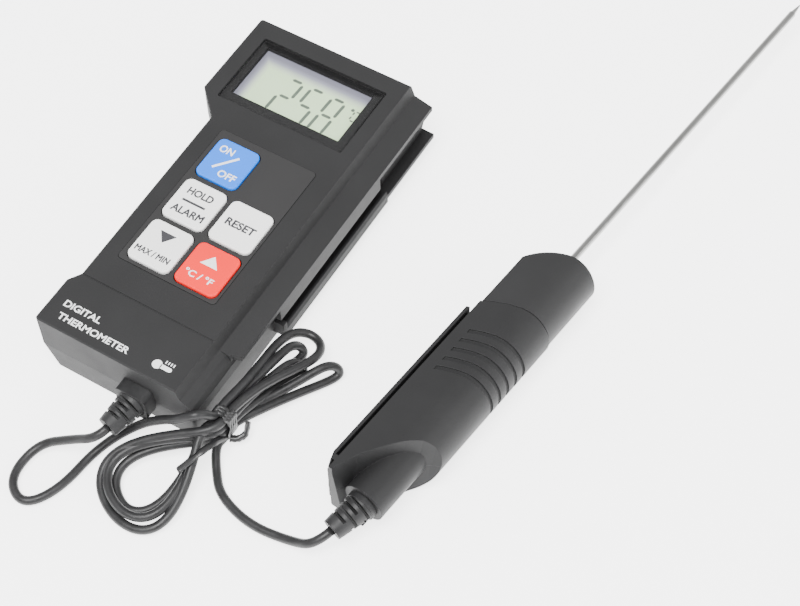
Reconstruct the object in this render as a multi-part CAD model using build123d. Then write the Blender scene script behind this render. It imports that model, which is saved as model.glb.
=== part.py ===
from build123d import *
from math import radians, sqrt, tan
import os

# Handheld digital thermometer with a corded needle probe.
# Millimetres, +Z up. Origin: centre of the meter body on its flat back, which rests on the table.
# +X across the face towards the dock for the probe, +Y along the meter to the display end.

# --- meter body ---
BODY_LENGTH = 117.0
BODY_HALF_WIDTH = 27.6
FACE_Z = 23.6
PARTING_Z = 11.8
REAR_TAPER = 1.6
WAIST_TOP_X = -19.6
WAIST_LOW_X = -19.0
LOWER_LEFT_X = -21.3
LOBE_Y = 28.7
WAIST_TOP_Y = 20.4
WAIST_LOW_Y = -40.8
STEP_Y = -44.4
WALL = 2.0
FACE_WALL = 2.2
CAVITY_RIGHT_X = 21.9
CORNER_R = 0.9
HALF_LENGTH = BODY_LENGTH / 2

# --- dock on the right side of the meter ---
FACE_RIGHT_X = 22.85
FLANGE_ROOT_X = 24.1
FLANGE_TOP_Z = 20.0
FLANGE_X = 29.8
FLANGE_EDGE_Z = 18.4
FLANGE_LOW_Z = 16.8
FLANGE_START_Y = -40.6
REAR_FLANGE_X = 30.4
REAR_FLANGE_Z = 5.2
DOCK_LOW_Z = 7.0
DOCK_FLOOR_X = 24.4
DOCK_WEB_X = 27.3
DOCK_START_Y = -19.4
DOCK_END_Y = 34.5
DOCK_MID_Z = 10.15
LIP_GAP = 4.3
LIP = 0.85

# --- display and keys ---
WINDOW_X0 = -22.5
WINDOW_X1 = 18.5
WINDOW_Y0 = 27.8
WINDOW_Y1 = 52.6
WINDOW_T = 0.9
WINDOW_DEPTH = 0.3
VIEW_X0 = -20.0
VIEW_X1 = 14.6
VIEW_Y0 = 32.2
VIEW_Y1 = 50.3
LCD_Z = 20.2
LCD_T = 1.1
OVERLAY_X0 = -14.3
OVERLAY_X1 = 16.9
OVERLAY_Y0 = -31.9
OVERLAY_Y1 = 18.4
OVERLAY_POCKET = 0.35
OVERLAY_T = 0.45
KEY_W = 13.3
KEY_H = 14.1
KEY_R = 2.0
KEY_GAP = 0.3
KEY_PROUD = 0.8
KEY_TRAVEL = 0.5
KEYS = {
    "key_power": (-5.9, 8.6),
    "key_hold": (-5.9, -7.5),
    "key_max_min": (-5.9, -23.4),
    "key_reset": (9.1, -7.5),
    "key_unit": (9.1, -23.4),
}

# --- inside the meter ---
BOARD_Z = 15.6
BOARD_T = 1.6
DOME_T = 1.2
CELL_D = 10.5
CELL_L = 44.5
CELL_PITCH = 11.4
CELL_Y = 27.8
CELL_Z = 7.3
DOOR_W = 26.0
DOOR_Y0 = 2.0
DOOR_Y1 = 56.8
BAY_Y1 = 53.0
DOOR_T = 1.7
SCREW_SPOTS = [(-23.0, 54.6), (19.2, 54.6), (-16.0, -54.0), (18.6, -54.0)]
SCREW_R = 1.1
SCREW_HEAD_R = 2.1

# --- meter strain relief ---
RELIEF_X = 10.4
RELIEF_Z = 12.2
RELIEF_BLOCK = 9.4
RELIEF_BLOCK_OUT = 3.8

# --- probe handle, in its own frame: U across, V along the needle, Z up ---
PROBE_AT = (67.2, -55.4)
PROBE_TURN = -7.3
HANDLE_LEFT = -0.7
HANDLE_H = 20.0
HANDLE_FLAT = 8.5
HANDLE_RIGHT = 18.2
HANDLE_END = 68.4
NOSE_END = 90.2
NOSE_ARC_U = 14.9
NOSE_ARC_R = 17.4
NOSE_GAP = 0.4
NOSE_INSET = 0.35
ARC_R = 30.3
ARC_U = 17.0
HANDLE_WALL = 1.8
HANDLE_MID = HANDLE_H / 2
PLATE_OUT = -2.5
PLATE_IN = -1.6
PLATE_START = 4.3
PLATE_END = 59.2
RAIL_START = 6.0
RAIL_END = 58.0
RAIL_NECK_H = 3.6
RAIL_HEAD_H = 5.8
RAIL_STEP = 1.1
RIB_FIRST = 57.6
RIB_PITCH = 3.5
RIB_COUNT = 5
RIB_DEPTH = 0.5
RIB_GROOVE = 1.3
TUBE_R = 5.9
TUBE_U = 9.07
TUBE_START = 1.4
NEEDLE_U = 7.4
NEEDLE_D = 2.2
NEEDLE_TIP = 213.0
NEEDLE_TAPER = 4.4
NEEDLE_ROOT = 64.4
NEEDLE_ROOT_R = 1.35
NEEDLE_ROOT_END = 90.6
NEEDLE_BORE_R = 0.75

# --- cord ---
CORD_D = 2.5
CORD_R = CORD_D / 2
RELIEF_BASE_R = 4.2
RELIEF_TIP_R = 3.0
SLOT_W = 0.8
SLOT_CORE = 1.45
SLOT_TURN = 28
# Tail: from the meter's relief out, round, under the relief and up to the tied hank.
TAIL_ROUTE = [
    (8.8, -70.6, 11.2),
    (8.05, -74.5, 10.73),
    (0.8, -76.2, 6.4),
    (-8.2, -80.2, 2.2),
    (-9.0, -92.0, 1.3),
    (-1.2, -96.8, 1.3),
    (4.4, -88.0, 1.3),
    (5.6, -73.0, 1.4),
    (12.4, -63.4, 5.6),
    (19.6, -61.0, 10.6),
    (23.6, -60.9, 13.6),
]
# Lead: from just beside the hank to the probe's relief.
LEAD_ROUTE = [
    (36.0, -62.8, 1.5),
    (41.0, -68.4, 1.3),
    (52.2, -71.6, 1.3),
    (64.2, -70.4, 2.2),
    (71.14, -70.26, 7.21),
    (73.0, -64.9, 8.2),
]
CORNER_Z = 3.0
CORNER_H = 14.4
CORNER_PLAN = [
    (22.6, -63.4), (22.6, -59.6), (28.9, -59.6), (29.7, -54.2), (34.7, -54.2), (34.0, -58.0), (32.4, -62.0),
]
CORE_Z = 2.9
CORE_H = 10.2
CORE_PLAN = [(30.0, -55.4), (30.0, -46.0), (34.4, -46.0), (34.4, -55.4)]
LEFT_LOBE = [
    (31.0, -60.2), (20.0, -60.8), (14.4, -67.0), (9.4, -74.6), (9.6, -80.4), (13.6, -85.8),
    (21.0, -88.6), (30.0, -88.2), (35.0, -84.2), (36.2, -77.6), (34.8, -69.4), (33.4, -62.6),
]
RIGHT_LOBE = [
    (31.0, -48.2), (31.0, -41.0), (31.3, -32.0), (31.8, -22.0), (34.6, -16.6), (39.8, -16.2),
    (48.0, -18.4), (50.0, -21.4), (46.6, -30.4), (42.0, -38.8), (37.4, -45.4), (34.2, -48.6),
]
LEFT_LOBE_H = 6.4
RIGHT_LOBE_Z = 0.2
RIGHT_LOBE_H = 12.0
LOBE_R = 1.2
TIE_X = 32.2
TIE_Y = -52.5
TIE_Z = 8.0
TIE_W = 5.8
TIE_H = 12.2
TIE_R = 1.6
TIE_WIDTH = 3.2
TIE_END_R = 0.75
TIE_LONG_END = [(35.9, -52.6, 6.8), (35.6, -59.6, 9.0), (31.2, -70.4, 9.0)]
TIE_CURL_END = [(35.9, -52.8, 4.0), (37.8, -53.0, 4.2), (38.8, -50.6, 5.0), (37.8, -48.9, 5.6)]


def block(x0, x1, y0, y1, z0, z1):
    """Axis-aligned box between two corners."""
    size = (x1 - x0, y1 - y0, z1 - z0)
    return Pos((x0 + x1) / 2, (y0 + y1) / 2, (z0 + z1) / 2) * Box(*size)


def round_block(x0, x1, y0, y1, z0, z1, r):
    """Box with rounded upright corners."""
    face = Pos((x0 + x1) / 2, (y0 + y1) / 2, z0) * RectangleRounded(x1 - x0, y1 - y0, r)
    return extrude(face, amount=z1 - z0)


def post(x, y, z0, z1, r):
    """Upright cylinder."""
    return Pos(x, y, (z0 + z1) / 2) * Cylinder(r, z1 - z0)


def slab(points, z0, z1):
    """Prism over a plan polygon."""
    face = Pos(0, 0, z0) * make_face(Polyline(*points, close=True))
    return extrude(face, amount=z1 - z0)


def bar_y(points, y0, y1):
    """Prism along Y over an X-Z polygon."""
    face = make_face(Polyline(*[(x, y0, z) for x, z in points], close=True))
    return extrude(face, amount=y1 - y0, dir=(0, 1, 0))


def body_plan(z, inset=0.0):
    """Outer plan of the meter: wide display lobe, narrow waist, step out at the lower end."""
    points = [
        (-BODY_HALF_WIDTH + inset, HALF_LENGTH - inset),
        (BODY_HALF_WIDTH - inset, HALF_LENGTH - inset),
        (BODY_HALF_WIDTH - inset, -HALF_LENGTH + inset),
        (LOWER_LEFT_X + inset, -HALF_LENGTH + inset),
        (LOWER_LEFT_X + inset, STEP_Y),
        (WAIST_LOW_X + inset, WAIST_LOW_Y),
        (WAIST_TOP_X + inset, WAIST_TOP_Y + 0.6 * inset),
        (-BODY_HALF_WIDTH + inset, LOBE_Y + 0.6 * inset),
    ]
    plan = make_face(Polyline(*points, close=True))
    return Pos(0, 0, z) * fillet(plan.vertices(), CORNER_R)


def cavity_plan(z):
    """Inner plan of the meter, with a straight wall beside the dock."""
    points = [
        (-BODY_HALF_WIDTH + WALL, HALF_LENGTH - WALL),
        (CAVITY_RIGHT_X, HALF_LENGTH - WALL),
        (CAVITY_RIGHT_X, -HALF_LENGTH + WALL),
        (LOWER_LEFT_X + WALL + 1.0, -HALF_LENGTH + WALL),
        (LOWER_LEFT_X + WALL + 1.0, STEP_Y),
        (WAIST_LOW_X + WALL, WAIST_LOW_Y),
        (WAIST_TOP_X + WALL, WAIST_TOP_Y + 1.2),
        (-BODY_HALF_WIDTH + WALL, LOBE_Y + 1.2),
    ]
    return Pos(0, 0, z) * make_face(Polyline(*points, close=True))


def key_hole(x, y, gap, z0, z1):
    """Rounded prism the size of a key plus a gap all round."""
    half_w = KEY_W / 2 + gap
    half_h = KEY_H / 2 + gap
    return round_block(x - half_w, x + half_w, y - half_h, y + half_h, z0, z1, KEY_R + gap)


def make_front_housing():
    body = extrude(body_plan(PARTING_Z), amount=FACE_Z - PARTING_Z)
    top_edges = body.faces().sort_by(Axis.Z)[-1].edges()
    body = chamfer(top_edges, 0.35)
    # Shoulder beside the face, falling away to the side wall.
    shoulder = [
        (FACE_RIGHT_X, FACE_Z + 1.0), (FACE_RIGHT_X, FACE_Z), (FLANGE_ROOT_X, FLANGE_TOP_Z),
        (25.8, 18.9), (27.0, 17.2), (27.5, 15.4), (30.0, 15.4), (30.0, FACE_Z + 1.0),
    ]
    body -= bar_y(shoulder, -HALF_LENGTH - 1, HALF_LENGTH + 1)
    # Front flange of the dock.
    flange = [
        (FLANGE_ROOT_X - 0.6, FLANGE_TOP_Z), (FLANGE_ROOT_X, FLANGE_TOP_Z),
        (FLANGE_X, FLANGE_EDGE_Z), (FLANGE_X, FLANGE_LOW_Z), (FLANGE_ROOT_X - 0.6, FLANGE_LOW_Z),
    ]
    body += bar_y(flange, FLANGE_START_Y, HALF_LENGTH)
    nose = [(22.0, FLANGE_START_Y - 1), (FLANGE_X + 1, FLANGE_START_Y - 1), (FLANGE_X + 1, -38.6)]
    cut_nose = slab(nose, FLANGE_LOW_Z - 0.1, FLANGE_EDGE_Z + 2) & block(
        27.4, 31.0, -42.0, -38.0, FLANGE_LOW_Z - 0.1, FACE_Z)
    body -= cut_nose
    # Dock channel: deep between the lips, shallow up to the open top end.
    body -= block(DOCK_FLOOR_X, 31.0, DOCK_START_Y, DOCK_END_Y, PARTING_Z - 1, FLANGE_LOW_Z)
    body -= block(DOCK_WEB_X, 31.0, DOCK_END_Y, HALF_LENGTH + 1, PARTING_Z - 1, FLANGE_LOW_Z)
    lip_low = DOCK_MID_Z + LIP_GAP / 2
    body += block(FLANGE_X - LIP, FLANGE_X, DOCK_START_Y - 1.6, 29.9, lip_low, FLANGE_LOW_Z)
    body += block(DOCK_WEB_X, FLANGE_X - LIP, DOCK_START_Y - 1.6, DOCK_START_Y, lip_low, FLANGE_LOW_Z)
    # Hollow inside, window opening, window pocket, overlay pocket and key openings.
    body -= extrude(cavity_plan(PARTING_Z), amount=FACE_Z - FACE_WALL - PARTING_Z)
    body -= block(VIEW_X0 - 0.5, VIEW_X1 + 0.5, VIEW_Y0 - 0.5, VIEW_Y1 + 0.5, 18.0, FACE_Z + 1)
    pocket_z = FACE_Z - WINDOW_DEPTH - WINDOW_T
    body -= round_block(WINDOW_X0, WINDOW_X1, WINDOW_Y0, WINDOW_Y1, pocket_z, FACE_Z + 1, 0.6)
    overlay_z = FACE_Z - OVERLAY_POCKET
    body -= round_block(OVERLAY_X0, OVERLAY_X1, OVERLAY_Y0, OVERLAY_Y1, overlay_z, FACE_Z + 1, 1.2)
    for x, y in KEYS.values():
        body -= key_hole(x, y, KEY_GAP, 18.0, FACE_Z + 1)
    # Fine line across the face above the name band.
    body -= block(WAIST_LOW_X - 1.0, FACE_RIGHT_X + 0.5, -41.2, -40.75, FACE_Z - 0.25, FACE_Z + 1)
    # Screw bosses under the face.
    for x, y in SCREW_SPOTS:
        body += post(x, y, PARTING_Z, FACE_Z - 1.5, 2.4)
        body -= post(x, y, PARTING_Z - 1, FACE_Z - 4.0, SCREW_R + 0.05)
    # Half of the seat for the strain relief.
    body -= relief_seat()
    return body


def relief_seat():
    """Square throat with a wider groove behind it, cut half into each housing."""
    half = RELIEF_BLOCK / 2 - 1.2
    y_out = -HALF_LENGTH - 1
    seat = block(RELIEF_X - half, RELIEF_X + half, y_out, -HALF_LENGTH + 4.0,
                 RELIEF_Z - half, RELIEF_Z + half)
    return seat


def make_rear_housing():
    body = loft([body_plan(0.0, REAR_TAPER), body_plan(PARTING_Z)], ruled=True)
    rear_flange = [
        (25.0, DOCK_LOW_Z), (REAR_FLANGE_X, DOCK_LOW_Z - 0.2), (REAR_FLANGE_X, REAR_FLANGE_Z),
        (25.0, REAR_FLANGE_Z - 0.6),
    ]
    body += bar_y(rear_flange, DOCK_START_Y - 1.6, HALF_LENGTH)
    body -= block(DOCK_FLOOR_X, 32.0, DOCK_START_Y, DOCK_END_Y, DOCK_LOW_Z, PARTING_Z + 1)
    body -= block(DOCK_WEB_X, 32.0, DOCK_END_Y, HALF_LENGTH + 1, DOCK_LOW_Z, PARTING_Z + 1)
    lip_top = DOCK_MID_Z - LIP_GAP / 2
    lip = [
        (REAR_FLANGE_X - 1.1, lip_top), (REAR_FLANGE_X - 0.5, lip_top),
        (REAR_FLANGE_X, lip_top - 1.2), (REAR_FLANGE_X, 3.7), (REAR_FLANGE_X - 1.1, 3.7),
    ]
    body += bar_y(lip, DOCK_START_Y - 1.6, 32.8)
    # End stop that closes the lower end of the channel.
    body += block(DOCK_WEB_X - 0.6, REAR_FLANGE_X, DOCK_START_Y - 1.6, DOCK_START_Y,
                  REAR_FLANGE_Z, DOCK_MID_Z)
    body -= extrude(cavity_plan(2.0), amount=PARTING_Z)
    # Battery opening in the back, with ledges for the door, which slides out at the display end.
    body -= block(-DOOR_W / 2 - 0.2, DOOR_W / 2 + 0.2, DOOR_Y0 - 0.2, HALF_LENGTH + 1, -1, DOOR_T + 0.15)
    body -= block(-DOOR_W / 2 + 1.5, DOOR_W / 2 - 1.5, DOOR_Y0 + 1.5, BAY_Y1 - 1.5, 1.0, 3.0)
    # Walls of the battery bay.
    for x in (-DOOR_W / 2 + 0.3, DOOR_W / 2 - 1.5):
        body += block(x, x + 1.2, DOOR_Y0, BAY_Y1, 1.9, 9.5)
    for x, y in SCREW_SPOTS:
        body += post(x, y, 1.4, PARTING_Z, 2.9)
        body -= post(x, y, -1, 4.0, SCREW_HEAD_R + 0.2)
        body -= post(x, y, 3.0, PARTING_Z + 1, SCREW_R + 0.15)
    # Shallow seat for the rating label.
    body -= block(-12.0, 12.0, -42.0, -14.0, -1, 0.25)
    body -= relief_seat()
    return body


def make_battery_door():
    door = round_block(-DOOR_W / 2, DOOR_W / 2, DOOR_Y0, DOOR_Y1, 0.0, DOOR_T, 1.0)
    for k in range(5):
        y = DOOR_Y1 - 5.0 - 1.8 * k
        door -= block(-7.0, 7.0, y - 0.45, y + 0.45, -1, 0.45)
    return door


def make_screws():
    screws = []
    for x, y in SCREW_SPOTS:
        head = post(x, y, 2.2, 4.0, SCREW_HEAD_R)
        head -= Pos(x, y, 2.5) * Rot(0, 0, 30) * Box(2.6, 0.6, 1.4)
        head -= Pos(x, y, 2.5) * Rot(0, 0, 120) * Box(2.6, 0.6, 1.4)
        screws.append(head + post(x, y, 3.9, 16.5, SCREW_R))
    return Compound(children=screws)


def make_key(x, y):
    """Key cap with a retaining rim and a plunger that meets its dome."""
    half_w = KEY_W / 2
    half_h = KEY_H / 2
    cap = round_block(x - half_w, x + half_w, y - half_h, y + half_h, 20.2, FACE_Z + KEY_PROUD, KEY_R)
    cap = fillet(cap.faces().sort_by(Axis.Z)[-1].edges(), 0.5)
    rim = round_block(x - half_w - 0.8, x + half_w + 0.8, y - half_h - 0.8, y + half_h + 0.8,
                      19.6, 20.6, KEY_R + 0.4)
    plunger_low = BOARD_Z + BOARD_T + DOME_T + KEY_TRAVEL + 0.05
    return cap + rim + post(x, y, plunger_low, 20.0, 1.6)


def make_dome(x, y):
    base = block(x - 3.1, x + 3.1, y - 3.1, y + 3.1, BOARD_Z + BOARD_T, BOARD_Z + BOARD_T + 0.6)
    return base + post(x, y, BOARD_Z + BOARD_T + 0.5, BOARD_Z + BOARD_T + DOME_T, 1.8)


def make_overlay():
    z0 = FACE_Z - OVERLAY_POCKET
    plate = round_block(OVERLAY_X0 + 0.1, OVERLAY_X1 - 0.1, OVERLAY_Y0 + 0.1, OVERLAY_Y1 - 0.1,
                        z0, z0 + OVERLAY_T, 1.1)
    for x, y in KEYS.values():
        plate -= key_hole(x, y, KEY_GAP, z0 - 1, z0 + 1)
    return plate


def make_window():
    z0 = FACE_Z - WINDOW_DEPTH - WINDOW_T
    plate = round_block(WINDOW_X0 + 0.1, WINDOW_X1 - 0.1, WINDOW_Y0 + 0.1, WINDOW_Y1 - 0.1,
                        z0, z0 + WINDOW_T, 0.5)
    return plate


def make_lcd():
    return block(VIEW_X0 - 0.3, VIEW_X1 + 0.3, VIEW_Y0 - 2.5, VIEW_Y1 + 0.3, LCD_Z, LCD_Z + LCD_T)


def make_lcd_frame():
    frame = block(VIEW_X0 - 1.5, VIEW_X1 + 1.5, VIEW_Y0 - 3.8, VIEW_Y1 + 1.5,
                  BOARD_Z + BOARD_T, LCD_Z + LCD_T)
    frame -= block(VIEW_X0 - 0.4, VIEW_X1 + 0.4, VIEW_Y0 - 2.6, VIEW_Y1 + 0.4, 16.0, 22.0)
    return frame


def make_zebra(y):
    return block(VIEW_X0 + 0.5, VIEW_X1 - 0.5, y - 1.0, y + 1.0, BOARD_Z + BOARD_T, LCD_Z)


def make_board():
    board = block(-16.8, 20.4, -49.0, 50.8, BOARD_Z, BOARD_Z + BOARD_T)
    # Notch around the strain relief's inner end and a cut for the buzzer leads.
    board -= block(RELIEF_X - 4.0, RELIEF_X + 4.0, -50.0, -45.0, 15.0, 18.0)
    return board


def make_cell(x):
    cell = Pos(x, CELL_Y, CELL_Z) * Rot(90, 0, 0) * Cylinder(CELL_D / 2, CELL_L - 1.0)
    tip_y = CELL_Y + (CELL_L - 1.0) / 2 + 0.5
    cell += Pos(x, tip_y, CELL_Z) * Rot(90, 0, 0) * Cylinder(1.9, 1.0)
    return cell


def make_contact_spring(x):
    """Leaf contact at the flat end of a cell."""
    y = CELL_Y - CELL_L / 2
    leaf = block(x - 3.5, x + 3.5, y - 2.0, y - 1.6, 3.6, 11.0)
    leaf += block(x - 1.6, x + 1.6, y - 1.7, y + 0.45, 6.9, 7.7)
    return leaf


def make_contact_plate():
    y = CELL_Y + CELL_L / 2 + 0.55
    return block(-CELL_PITCH / 2 - 4.0, CELL_PITCH / 2 + 4.0, y, y + 0.5, 3.6, 11.0)


def cone_along(start, direction, length, r0, r1):
    """Round taper from a start point along a direction."""
    plane = Plane(origin=start, z_dir=direction)
    big = plane * Circle(r0)
    small = plane.offset(length) * Circle(r1)
    return loft([big, small])


def slotted_relief(start, direction, length, r0, r1, slots):
    """Tapered bend relief: cross slots over the top, turned to alternate sides, and more underneath."""
    across = Vector(0, 0, 1).cross(Vector(*direction))
    plane = Plane(origin=start, x_dir=across, z_dir=direction)
    relief = cone_along(start, direction, length, r0, r1)
    pitch = (length - 3.2) / slots
    for k in range(slots):
        turn = SLOT_TURN if k % 2 else -SLOT_TURN
        slot = Pos(0, r0 / 2 + SLOT_CORE, 0) * Box(3 * r0, r0, SLOT_W)
        relief -= plane * Pos(0, 0, 1.7 + pitch * k) * Rot(0, 0, turn) * slot
        relief -= plane * Pos(0, 0, 1.7 + pitch * (k + 0.5)) * Rot(0, 0, 180 - turn) * slot
    return relief


def make_meter_relief():
    half = RELIEF_BLOCK / 2
    neck = half - 1.3
    y0 = -HALF_LENGTH
    tip = TAIL_ROUTE[0]
    root = (RELIEF_X, y0 - RELIEF_BLOCK_OUT, RELIEF_Z)
    direction = (tip[0] - root[0], tip[1] - root[1], tip[2] - root[2])
    length = sqrt(direction[0] ** 2 + direction[1] ** 2 + direction[2] ** 2)
    collar = round_block(-half, half, -half, half, 0, RELIEF_BLOCK_OUT, 1.6)
    relief = Pos(RELIEF_X, y0 - 0.02, RELIEF_Z) * Rot(90, 0, 0) * collar
    relief += block(RELIEF_X - neck, RELIEF_X + neck, y0 - 0.5, y0 + 3.8, RELIEF_Z - neck, RELIEF_Z + neck)
    back = (root[0], root[1] + 0.8, root[2])
    relief += slotted_relief(back, direction, length + 0.8, RELIEF_BASE_R, RELIEF_TIP_R, 4)
    # Trim flush at the tip so the cord meets it face to face.
    tip_plane = Plane(origin=tip, z_dir=direction)
    relief -= extrude(tip_plane * Circle(8.0), amount=4.0)
    return relief


def make_wire_pair():
    """Two short conductors from the relief to the board."""
    wires = []
    for k in (-1, 1):
        x = RELIEF_X + 1.0 * k
        line = FilletPolyline(
            (x, -HALF_LENGTH + 4.0, RELIEF_Z), (x, -48.0, RELIEF_Z), (x - 6.0, -43.0, BOARD_Z - 0.6),
            radius=2.0)
        wires.append(sweep(Plane(origin=line @ 0, z_dir=line % 0) * Circle(0.5), path=line))
    return Compound(children=wires)


# --- probe ---
PROBE = Pos(PROBE_AT[0], PROBE_AT[1], 0) * Rot(0, 0, PROBE_TURN)


def handle_section(v, inset):
    """Cross-section of the handle: flat dock side, flat top and bottom, round right side."""
    flat = HANDLE_FLAT
    left = HANDLE_LEFT + inset
    size_u = flat - left
    box = Pos((flat + left) / 2, HANDLE_MID) * Rectangle(size_u, HANDLE_H - 2 * inset)
    oval = Pos(flat, HANDLE_MID) * Ellipse(HANDLE_RIGHT - flat - inset, HANDLE_MID - inset)
    frame = Plane(origin=(0, v, 0), x_dir=(1, 0, 0), z_dir=(0, -1, 0))
    return frame * (box + oval)


def handle_bar(v0, v1, inset):
    return extrude(handle_section(v0, inset), amount=v1 - v0, dir=(0, 1, 0))


def rod_v(u, v0, length, r):
    """Round rod along the handle, at mid height."""
    rod = Cylinder(r, length, align=(Align.CENTER, Align.CENTER, Align.MIN))
    return Pos(u, v0, HANDLE_MID) * Rot(-90, 0, 0) * rod


def arc_slab(v_end, centre_u=ARC_U, r=ARC_R):
    """Upright slab whose far edge is an arc; the handle's cross lines share one shallow arc."""
    disc = post(centre_u, v_end - r, -5, HANDLE_H + 5, r)
    lower = block(-8, 30, -60, v_end - r, -5, HANDLE_H + 5)
    return disc + lower


def cord_end_cut():
    """Slanted scoop that frees the cord tube at the lower end; leans back towards the top."""
    points = [
        (0.45, -12.0), (0.45, 1.0), (3.0, 7.4), (7.0, 13.7), (10.0, 17.8), (13.0, 21.2),
        (16.0, 23.5), (22.0, 27.0), (22.0, -12.0),
    ]
    top = Pos(0, 0, HANDLE_H + 0.01) * make_face(Polyline(*points, close=True))
    return extrude(top, amount=HANDLE_H + 1.0, dir=(0, -0.33, -1.0))


def handle_blank():
    blank = handle_bar(0.0, HANDLE_END, 0.0) & arc_slab(HANDLE_END)
    blank -= cord_end_cut()
    # Dock plate standing off the flat side.
    plate = slab([(PLATE_OUT, PLATE_START), (PLATE_OUT, PLATE_END), (PLATE_IN, PLATE_END + 0.3),
                  (PLATE_IN, 3.2), (HANDLE_LEFT + 0.2, 0.0), (HANDLE_LEFT - 0.1, 0.0),
                  (-1.6, 1.8)], 0.4, HANDLE_H)
    web = block(PLATE_IN - 0.1, HANDLE_LEFT + 0.1, 0.6, PLATE_END, 3.0, HANDLE_H - 3.0)
    stop = block(PLATE_IN, HANDLE_LEFT + 0.1, 2.4, 4.0, 0.4, HANDLE_H)
    blank += plate + web + stop
    # T rail that runs in the meter's dock.
    neck_z0 = DOCK_MID_Z - RAIL_NECK_H / 2
    head_z0 = DOCK_MID_Z - RAIL_HEAD_H / 2
    neck_u = PLATE_OUT - RAIL_STEP
    head_u = neck_u - RAIL_STEP
    blank += block(neck_u, PLATE_OUT, RAIL_START, RAIL_END, neck_z0, neck_z0 + RAIL_NECK_H)
    blank += block(head_u, neck_u, RAIL_START, RAIL_END, head_z0, head_z0 + RAIL_HEAD_H)
    # Tube that carries the cord relief.
    blank += rod_v(TUBE_U, TUBE_START, 32.0 - TUBE_START, TUBE_R)
    # Shingled grip ribs.
    for k in range(RIB_COUNT):
        v = RIB_FIRST - RIB_PITCH * k
        skin = handle_bar(v - 14, v + 2, -0.5) - handle_bar(v - 15, v + 3, RIB_DEPTH)
        band = arc_slab(v) - arc_slab(v - RIB_GROOVE)
        blank -= (skin & band) & block(2.5, 30, v - 20, v + 5, -1, HANDLE_H + 1)
    # Hollow, throat for the relief and throat for the nose.
    blank -= handle_bar(33.0, HANDLE_END - 12.0, HANDLE_WALL)
    blank -= rod_v(TUBE_U, 0, 34.0, 3.4)
    blank -= handle_bar(HANDLE_END - 13.0, HANDLE_END + 1.0, HANDLE_WALL + 1.0)
    return blank


def make_handle_half(blank, upper):
    z0 = HANDLE_MID if upper else -2.0
    z1 = HANDLE_H + 2.0 if upper else HANDLE_MID
    half = blank & block(-8, 30, -10, 80, z0, z1)
    for v in (38.0, 52.0):
        boss = post(7.0, v, 1.0, HANDLE_H - 1.0, 2.6) & block(-8, 30, -10, 80, z0, z1)
        half += boss
        if upper:
            half -= post(7.0, v, HANDLE_MID - 1, HANDLE_H - 4.0, 0.95)
        else:
            half -= post(7.0, v, -1, 4.0, 2.0)
            half -= post(7.0, v, 3.0, HANDLE_MID + 1, 1.15)
    return PROBE * half


def make_nose():
    outer = handle_bar(HANDLE_END - 8.0, NOSE_END + 2.0, NOSE_INSET)
    outer = outer & arc_slab(NOSE_END, NOSE_ARC_U, NOSE_ARC_R)
    outer -= arc_slab(HANDLE_END + NOSE_GAP)
    spigot = handle_bar(HANDLE_END - 11.0, HANDLE_END + 2.0, HANDLE_WALL + 1.15)
    spigot = spigot & arc_slab(HANDLE_END + 1.0)
    nose = outer + spigot
    nose -= rod_v(NEEDLE_U, NEEDLE_ROOT - 1, 60.0, NEEDLE_ROOT_R)
    nose -= rod_v(NEEDLE_U, HANDLE_END - 12, 14.0, 3.0)
    return PROBE * nose


def make_needle():
    """Hollow steel probe with a thicker root, a cone at the tip and a small step behind it."""
    shank_end = NEEDLE_TIP - NEEDLE_TAPER
    needle = rod_v(NEEDLE_U, NEEDLE_ROOT, NEEDLE_ROOT_END - NEEDLE_ROOT, NEEDLE_ROOT_R)
    needle += rod_v(NEEDLE_U, NEEDLE_ROOT_END, shank_end - NEEDLE_ROOT_END, NEEDLE_D / 2)
    needle += cone_along((NEEDLE_U, shank_end - 0.02, HANDLE_MID), (0, 1, 0), NEEDLE_TAPER,
                         NEEDLE_D / 2 - 0.2, 0.22)
    needle -= rod_v(NEEDLE_U, NEEDLE_ROOT - 1, shank_end - NEEDLE_ROOT - 5.0, NEEDLE_BORE_R)
    return PROBE * needle


def make_ferrule():
    """Crimp ring on the needle's inner end."""
    ring = rod_v(NEEDLE_U, NEEDLE_ROOT, 5.4, 2.6) - rod_v(NEEDLE_U, NEEDLE_ROOT - 1, 9.0, NEEDLE_ROOT_R)
    return PROBE * ring


def make_sensor():
    """Temperature bead sealed near the tip."""
    return PROBE * rod_v(NEEDLE_U, NEEDLE_TIP - NEEDLE_TAPER - 9.4, 2.6, NEEDLE_BORE_R - 0.05)


def make_probe_leads():
    """Two conductors from the cord to the needle, between the bosses and the right wall."""
    wires = []
    for k in (-1, 1):
        z = HANDLE_MID + 1.1 * k
        line = FilletPolyline(
            (TUBE_U, 8.0, z), (TUBE_U, 28.0, z), (12.0, 38.0, z), (12.0, 52.0, z), (NEEDLE_U, 63.0, z),
            radius=4.0)
        wires.append(sweep(Plane(origin=line @ 0, z_dir=line % 0) * Circle(0.45), path=line))
    return PROBE * Compound(children=wires)


def make_handle_screws():
    screws = []
    for v in (38.0, 52.0):
        head = post(7.0, v, 2.2, 4.0, 1.9)
        head -= Pos(7.0, v, 2.4) * Box(2.2, 0.5, 1.0)
        screws.append(head + post(7.0, v, 3.9, 14.5, 0.9))
    return PROBE * Compound(children=screws)


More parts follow.
